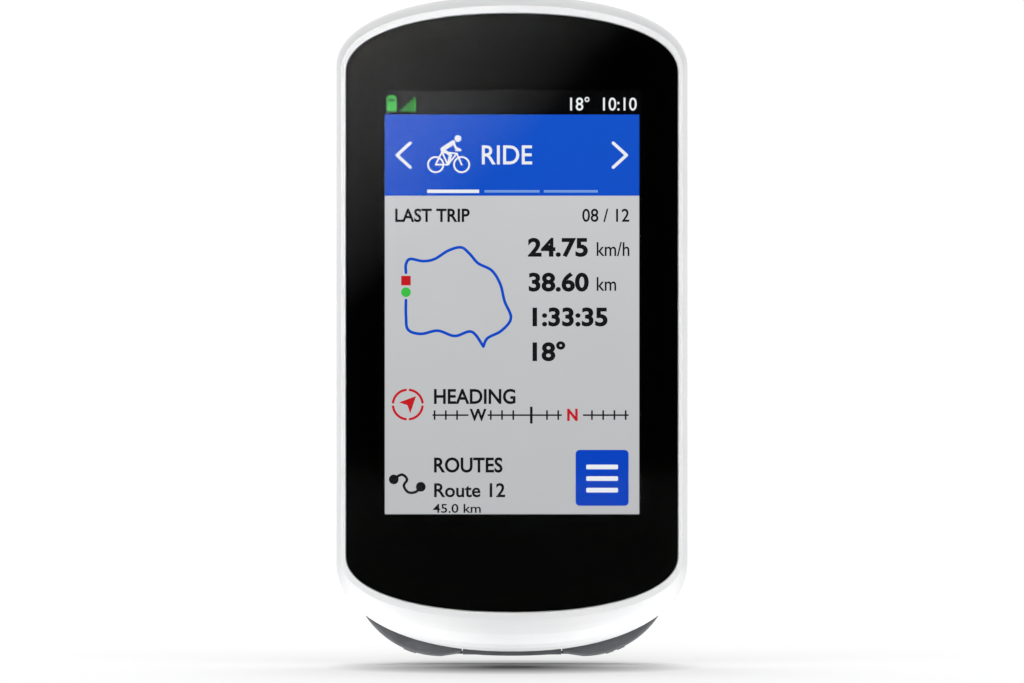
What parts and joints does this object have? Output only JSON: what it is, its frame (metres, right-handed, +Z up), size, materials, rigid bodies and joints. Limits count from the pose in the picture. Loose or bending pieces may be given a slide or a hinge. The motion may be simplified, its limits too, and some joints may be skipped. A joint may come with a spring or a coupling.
{
  "type": "cycling computer",
  "caption": "Handlebar cycling computer with a tall touch display in a white bezel, lower edge buttons, a hinged port cap and a quarter-turn mount on its back.",
  "frame": {"origin": "centre of the mount puck's end face", "axes": "+Z up the screen along the long side, -Y out of the screen towards the rider, +Y out of the back along the mount's axis, +X to the rider's right"},
  "size_m": [0.0559, 0.0176, 0.105],
  "materials": {
    "white_shell": "satin moulded white",
    "cover_glass": "polished",
    "black_print": "printed ink",
    "clear_adhesive": "tape",
    "display": "lit panel",
    "backlight": "diffuser",
    "dark_shell": "fine moulded texture",
    "button_rubber": "matt",
    "seal_rubber": "matt",
    "frame_metal": "die cast",
    "board": "solder mask",
    "chip": "moulded",
    "flex_film": "film",
    "antenna_plastic": "moulded",
    "battery_pouch": "foil pouch",
    "foam_tape": "foam",
    "fastener_steel": "plain",
    "insert_brass": "turned",
    "contact_gold": "gold plated"
  },
  "bodies": {
    "case": {"backlight_unit": "backlight", "barometer": "chip", "battery_connector": "chip", "battery_lead": "flex_film", "battery_pack": "battery_pouch", "battery_pads": "foam_tape", "beeper": "chip", "board_chips": "chip", "board_flex": "flex_film", "board_screws": "fastener_steel", "case_screws": "fastener_steel", "case_seal": "seal_rubber", "chassis": "frame_metal", "contact_carrier": "dark_shell", "contact_flex": "flex_film", "contact_pins": "contact_gold", "cover_glass": "cover_glass", "display_flex": "flex_film", "display_panel": "display", "front_bezel": "white_shell", "gps_antenna": "antenna_plastic", "lap_switch": "chip", "lens_adhesive": "clear_adhesive", "lens_mask": "black_print", "main_board": "board", "mount_puck": "dark_shell", "port_board": "board", "power_switch": "chip", "puck_screws": "fastener_steel", "rear_case": "dark_shell", "shield_cans": "frame_metal", "start_stop_switch": "chip", "threaded_inserts": "insert_brass", "usb_receptacle": "fastener_steel", "usb_tongue": "chip", "vent_membrane": "seal_rubber", "weather_cap_pin": "fastener_steel", "wireless_antenna": "antenna_plastic"},
    "power_button_body": {"power_button": "button_rubber", "power_plunger": "antenna_plastic"},
    "lap_button_body": {"lap_button": "button_rubber", "lap_plunger": "antenna_plastic"},
    "start_stop_button_body": {"start_stop_button": "button_rubber", "start_stop_plunger": "antenna_plastic"},
    "weather_cap_body": {"weather_cap": "button_rubber"}
  },
  "joints": [
    {"name": "power_press", "type": "slide", "parent": "case", "child": "power_button_body", "axis": [1, 0, 0], "range_m": [0, 0.0004], "stiffness_N_per_m": 1500},
    {"name": "lap_press", "type": "slide", "parent": "case", "child": "lap_button_body", "axis": [0.2924, 0, 0.9563], "range_m": [0, 0.0005], "stiffness_N_per_m": 1500},
    {"name": "start_stop_press", "type": "slide", "parent": "case", "child": "start_stop_button_body", "axis": [-0.2924, 0, 0.9563], "range_m": [0, 0.0005], "stiffness_N_per_m": 1500},
    {"name": "weather_cap_hinge", "type": "hinge", "parent": "case", "child": "weather_cap_body", "pos_m": [0, -0.00485, -0.05745], "axis": [1, 0, 0], "range_deg": [0, 110]}
  ]
}
